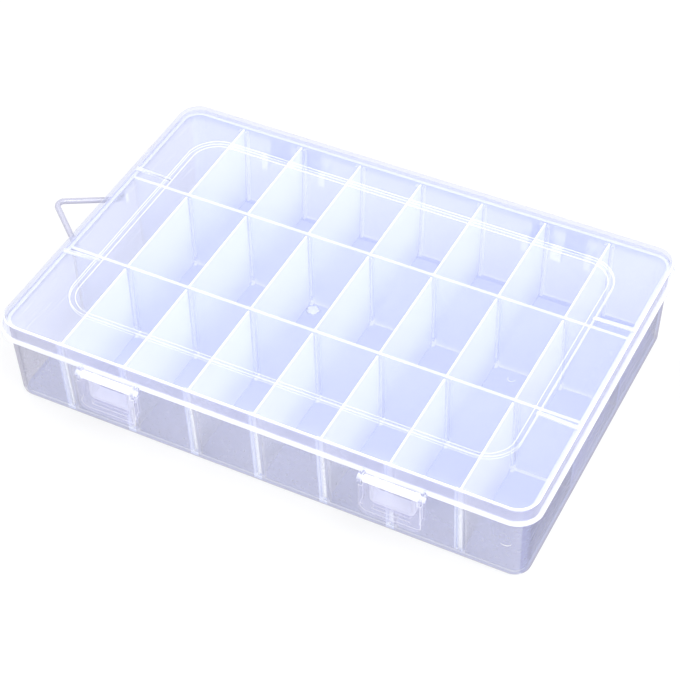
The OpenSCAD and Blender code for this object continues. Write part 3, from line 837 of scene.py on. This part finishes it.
@dataclass
class Lid:
    """The clear lid with its sunk panel, rim bead, snap clips and latch ears.

    Attributes:
        soft: The rounding of its edges.
        panel: Half the length and half the width of the sunk panel, in mm.
        panel_corners: The same with a small margin, which holds the corners of its border.
        panel_edges: The same with a wide margin, which holds the edges of its border.
        panel_inset: How far the border of the sunk panel is drawn in, in metres.
        sharp: Least angle of an edge that is rounded, in degrees.
        gentle: The same for the edges round the sunk panel.
        panel_level: Height that the upper edges round the sunk panel lie above, in metres.
    """

    soft: SoftEdge = SoftEdge(0.26 * MM, weighed=True)
    panel: tuple[float, float] = (82.3, 50.8)
    panel_corners: tuple[float, float] = (82.45, 51.0)
    panel_edges: tuple[float, float] = (83.0, 52.0)
    panel_inset: float = 1.1 * MM
    sharp: float = 34.0
    gentle: float = 18.0
    panel_level: float = 34.4 * MM

    @staticmethod
    def _is_within(place: Vector, half: tuple[float, float]) -> bool:
        """True for a place within half a length and half a width, given in mm."""
        return abs(place.x) < half[0] * MM and abs(place.y) < half[1] * MM

    def _shift_panel(self, piece: bpy.types.Object) -> None:
        """Draws the border of the sunk panel in a little, as the photograph has it."""
        for corner in piece.data.vertices:
            place = corner.co
            if self._is_within(place, self.panel_corners) and place.z > 33.9 * MM:
                place.x *= 1.0 - self.panel_inset / (self.panel[0] * MM)
                place.y *= 1.0 - self.panel_inset / (self.panel[1] * MM)

    def _weigh_edges(self, piece: bpy.types.Object) -> None:
        """Weighs the edges to soften: sharp ones, and the upper ones round the sunk panel."""
        shape = bmesh.new()
        shape.from_mesh(piece.data)
        weight = shape.edges.layers.float.new("bevel_weight_edge")
        for edge in shape.edges:
            inside = all(self._is_within(corner.co, self.panel_edges) for corner in edge.verts)
            least = self.gentle if inside else self.sharp
            low = inside and edge.verts[0].co.z < self.panel_level
            if not low and math.degrees(edge.calc_face_angle(0.0)) > least:
                edge[weight] = 1.0
        shape.to_mesh(piece.data)
        shape.free()

    @staticmethod
    def _is_skirt(middle: Vector, normal: Vector) -> bool:
        """True for the skirt and what hangs from it."""
        by_edge = abs(middle.x) > LID_ENDS or abs(middle.y) > LONG_SIDES
        return by_edge and abs(normal.z) < 0.7

    @staticmethod
    def _is_bead(middle: Vector, normal: Vector) -> bool:
        """True for the bead round the foot of the skirt."""
        outside = normal.x * middle.x > 10.0 or normal.y * middle.y > 10.0 or normal.z < -TURNED
        return 28.9 < middle.z < 31.1 and outside

    @staticmethod
    def _is_round(middle: Vector, normal: Vector) -> bool:
        """True for the rounding between the top and the skirt."""
        by_edge = abs(middle.x) > LID_ENDS or abs(middle.y) > LONG_SIDES
        return by_edge and middle.z > 34.9 and 0.35 < normal.z < 0.95

    @staticmethod
    def _is_rib(middle: Vector, normal: Vector) -> bool:
        """True for the short ribs under the lid at the ends of the long walls."""
        by_wall = abs(abs(middle.y) - 20.7) < 4.0 and 83.0 < abs(middle.x) < 93.0
        return by_wall and middle.z < 34.6 and abs(normal.x) < TURNED

    @staticmethod
    def _is_clip(middle: Vector, normal: Vector) -> bool:
        """True for the snap clips of the hinge and the ears of the latches."""
        return middle.z < SKIRT_FOOT or abs(middle.y) > CLIP_REACH

    @staticmethod
    def _is_arm(middle: Vector, normal: Vector) -> bool:
        """True for the arms and clips at the hinges."""
        return middle.y > CLIP_REACH or (middle.y > LONG_SIDES and middle.z < SKIRT_FOOT)

    def build(self) -> None:
        """Makes the lid and puts it in its place."""
        piece = solid_copy("lid", "lid_body")
        dress(piece, (LID_TOP, EDGE_PAINTED_HIGHLIGHT, SKIRT_PAINTED_SHADE, BRIGHT_EDGE_PAINTED_HIGHLIGHT))
        self._shift_panel(piece)
        rules = (
            # Painted shade: the skirt gets the darker copy of the lid plastic.
            (SKIRT_PAINTED_SHADE, self._is_skirt),
            # Painted highlights: the bead and the rounding under the top get the hazy white copy.
            (EDGE_PAINTED_HIGHLIGHT, self._is_bead),
            (EDGE_PAINTED_HIGHLIGHT, self._is_round),
            # Painted shade: the clips and ears get the darker copy too.
            (SKIRT_PAINTED_SHADE, self._is_clip),
            # Painted light: the hinge arms and clips get the near-white copy.
            (BRIGHT_EDGE_PAINTED_HIGHLIGHT, self._is_arm),
            # Painted highlight: the ribs get the hazy white copy.
            (EDGE_PAINTED_HIGHLIGHT, self._is_rib),
        )
        for finish, chosen in rules:
            mark_faces(piece, finish, chosen)
        self._weigh_edges(piece)
        self.soft.soften(piece)
        settle(piece, Body.LID, ["lid"])


@dataclass
class Latch:
    """One snap latch with its barrel, flanges and snap bead.

    Attributes:
        body: The body that it rides on, which its node is named after.
        soft: The rounding of its edges.
        barrel_foot: Height that its barrel lies above, in mm.
    """

    body: Body
    soft: SoftEdge = SoftEdge(0.32 * MM)
    barrel_foot: float = 27.6

    def build(self) -> None:
        """Makes the latch and puts it in its place."""
        node = self.body.value
        piece = solid_copy(node, f"{node}_plate")
        dress(piece, (MOULDED, BRIGHT_EDGE_PAINTED_HIGHLIGHT))
        # Painted highlight: the barrel on top gets the near-white copy.
        mark_faces(piece, BRIGHT_EDGE_PAINTED_HIGHLIGHT, lambda middle, normal: middle.z > self.barrel_foot)
        self.soft.soften(piece)
        settle(piece, self.body, [node])


class Hanger:
    """The bent bar that the box hangs from."""

    def build(self) -> None:
        """Makes the hanger and puts it in its place."""
        piece = solid_copy("hanger", "hanger_bar")
        dress(piece, (LOOP,))
        piece.data.set_sharp_from_angle(angle=math.radians(50))
        settle(piece, Body.HANGER, ["hanger"])


@dataclass(frozen=True)
class Stroke:
    """A thin raised line that a mould's gate leaves on a face.

    Attributes:
        centre: Middle of the line's arc, in mm.
        across: Unit vector along the face.
        rise: Unit vector along the face, square to the first.
        bend: Radius of the arc, in mm.
        span: First and last angle of the arc, in degrees.
    """

    centre: Point
    across: Point
    rise: Point
    bend: float
    span: tuple[float, float]

    def draw(self, shape: bmesh.types.BMesh, thickness: float) -> None:
        """Adds the line to a shape as a thin round bar with tapered ends.

        Args:
            shape: The shape to add to.
            thickness: Its radius in the middle, in mm.
        """
        steps, sides = 12, 8
        across, rise = Vector(self.across), Vector(self.rise)
        out = across.cross(rise)
        first, last = (math.radians(angle) for angle in self.span)
        rings = []
        for step in range(steps + 1):
            share = step / steps
            turn = first + (last - first) * share
            arm = across * math.cos(turn) + rise * math.sin(turn)
            radius = thickness * (0.25 + 0.75 * math.sin(math.pi * share))
            middle = Vector(self.centre) + arm * self.bend
            ring = []
            for side in range(sides):
                lean = math.tau * side / sides
                spoke = arm * math.cos(lean) + out * math.sin(lean)
                ring.append(shape.verts.new((middle + spoke * radius) * MM))
            rings.append(ring)
        for near, far in zip(rings, rings[1:]):
            for side in range(sides):
                after = (side + 1) % sides
                shape.faces.new((near[side], near[after], far[after], far[side]))
        shape.faces.new(rings[0][::-1])
        shape.faces.new(rings[-1])


@dataclass
class GateMarks:
    """The small marks that the mould's gates left on the tray.

    Attributes:
        lump: Place of the lumpy gate stub on a cell's floor, in mm.
        lump_radius: Its radius, in mm.
        strokes: The thin curved marks.
        thickness: Radius of the thin marks, in mm.
    """

    lump: Point = (-20.6, 17.0, 1.4)
    lump_radius: float = 2.3
    strokes: Sequence[Stroke] = (
        Stroke((56.0, 16.5, 1.45), (1.0, 0.0, 0.0), (0.0, 1.0, 0.0), 1.3, (150.0, 380.0)),
        Stroke((86.4, -62.42, 18.2), (1.0, 0.0, 0.0), (0.0, -0.057, 0.998), 3.2, (252.0, 328.0)),
    )
    thickness: float = 0.16

    def _stub(self, shape: bmesh.types.BMesh) -> None:
        """Adds the lumpy stub, a low mound whose height waves round its middle."""
        rounds, spokes = 5, 28
        middle = Vector(self.lump)
        rings = []
        for step in range(rounds):
            reach = self.lump_radius * (1.0 - step / rounds)
            ring = []
            for spoke in range(spokes):
                turn = math.tau * spoke / spokes
                wave = 1.0 + 0.12 * math.sin(5.0 * turn + step) + 0.06 * math.sin(9.0 * turn)
                swell = 0.7 + 0.3 * math.sin(3.0 * turn + 1.3 * step)
                height = 0.45 * math.sin(math.pi * step / rounds) * swell
                far = reach * wave
                spot = middle + Vector((math.cos(turn) * far, math.sin(turn) * far, height))
                ring.append(shape.verts.new(spot * MM))
            rings.append(ring)
        for step, (low, high) in enumerate(zip(rings, rings[1:])):
            for spoke in range(spokes):
                after = (spoke + 1) % spokes
                face = shape.faces.new((low[spoke], low[after], high[after], high[spoke]))
                face.material_index = 1 if math.sin(2.6 * spoke + 1.9 * step) > -0.6 else 0
        shape.faces.new(rings[-1]).material_index = 1
        shape.faces.new(rings[0][::-1])

    def build(self) -> None:
        """Makes the marks and puts them on the tray."""
        shape = bmesh.new()
        self._stub(shape)
        for stroke in self.strokes:
            stroke.draw(shape, self.thickness)
        bmesh.ops.recalc_face_normals(shape, faces=shape.faces)
        piece = shaded_object(shape, "gate_marks")
        dress(piece, (FROSTED_EDGE_PAINTED_HIGHLIGHT, LOOP))
        settle(piece, Body.BASE)


# The studio


@dataclass(frozen=True)
class SoftBox:
    """A square studio light that looks at the box.

    Attributes:
        name: The light's name.
        place: Where it stands, in metres.
        side: Its width, in metres.
        power: Its power, in watts.
        colour: The colour of its light.
    """

    name: str
    place: Point
    side: float
    power: float
    colour: Colour = (1.0, 1.0, 1.0)

    def build(self) -> None:
        """Makes the light and aims it at the box."""
        lamp = bpy.data.lights.new(self.name, "AREA")
        lamp.shape, lamp.size = "SQUARE", self.side
        lamp.energy, lamp.color = self.power, self.colour
        stand = bpy.data.objects.new(self.name, lamp)
        stand.location = self.place
        stand.rotation_euler = (-Vector(self.place)).to_track_quat("-Z", "Y").to_euler()
        bpy.context.scene.collection.objects.link(stand)


@dataclass
class Studio:
    """A faintly lit white table in a white room, with soft light and the photograph's camera.

    Attributes:
        azimuth: Bearing of the camera from the front, towards +X, in degrees.
        elevation: Height of the camera above the horizon, in degrees.
        roll: Turn of the camera about its own line of sight, in degrees.
        camera_at: Where the camera stands, in metres.
        lens: Focal length on a 36 mm sensor, in millimetres.
        room_colour: The colour of the light that fills the room.
        room_strength: Its strength.
        table_shade: How much light the table scatters back.
        table_glow: How much light the table gives of its own.
        boxes: The studio lights.
    """

    azimuth: float = 27.593
    elevation: float = 44.68
    roll: float = -1.127
    camera_at: Point = (0.22228, -0.42758, 0.48714)
    lens: float = 104.766
    room_colour: Colour = (0.945, 0.955, 1.0)
    room_strength: float = 1.3
    table_shade: float = 0.16
    table_glow: float = 0.76
    boxes: Sequence[SoftBox] = (
        SoftBox("top_softbox", (-0.7, 0.3, 1.4), 1.0, 5.0),
        SoftBox("side_softbox", (0.85, -0.35, 1.25), 1.0, 20.0),
    )

    def _camera(self) -> None:
        """Stands the camera where the photograph was taken from."""
        across, rise, turn = (math.radians(v) for v in (self.azimuth, self.elevation, self.roll))
        right = Vector((math.cos(across), math.sin(across), 0.0))
        level = math.cos(rise)
        back = Vector((math.sin(across) * level, -math.cos(across) * level, math.sin(rise)))
        frame = Matrix((right, back.cross(right), back)).transposed()
        frame = frame @ Matrix.Rotation(turn, 3, "Z")
        lens = bpy.data.cameras.new("photo_camera")
        lens.lens, lens.sensor_width, lens.clip_start, lens.clip_end = self.lens, 36.0, 0.01, 20.0
        camera = bpy.data.objects.new("photo_camera", lens)
        camera.matrix_world = Matrix.Translation(self.camera_at) @ frame.to_4x4()
        bpy.context.scene.collection.objects.link(camera)
        bpy.context.scene.camera = camera

    def _table(self) -> None:
        """Lays the white table top under the box."""
        shape = bmesh.new()
        bmesh.ops.create_grid(shape, x_segments=1, y_segments=1, size=4.0)
        table = shaded_object(shape, "table_top")
        paper = bpy.data.materials.new("white_paper")
        paper.use_nodes = True
        sheen = paper.node_tree.nodes["Principled BSDF"]
        sheen.inputs["Base Color"].default_value = (*(self.table_shade,) * 3, 1.0)
        sheen.inputs["Emission Color"].default_value = (1.0, 1.0, 1.0, 1.0)
        sheen.inputs["Emission Strength"].default_value = self.table_glow
        sheen.inputs["Roughness"].default_value = 0.9
        sheen.inputs["Specular IOR Level"].default_value = 0.0
        table.data.materials.append(paper)

    def _room(self) -> None:
        """Fills the room with even white light."""
        world = bpy.data.worlds.new("white_room")
        world.use_nodes = True
        backdrop = world.node_tree.nodes["Background"]
        backdrop.inputs["Color"].default_value = (*self.room_colour, 1.0)
        backdrop.inputs["Strength"].default_value = self.room_strength
        bpy.context.scene.world = world

    def build(self) -> None:
        """Makes the table, the light and the camera."""
        scene = bpy.context.scene
        scene.view_settings.view_transform = "Standard"
        scene.cycles.transparent_max_bounces = 64
        scene.cycles.max_bounces = 16
        scene.cycles.diffuse_bounces = 10
        self._table()
        self._room()
        for box in self.boxes:
            box.build()
        self._camera()


def main() -> None:
    """Builds the box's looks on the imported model."""
    logging.basicConfig(level=logging.INFO, format="%(name)s %(message)s")
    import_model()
    for part in (
        Studio(),
        Tray(),
        GateMarks(),
        Dividers(),
        Lid(),
        Latch(Body.LATCH_LEFT),
        Latch(Body.LATCH_RIGHT),
        Hanger(),
    ):
        part.build()


if __name__ == "__main__":
    main()
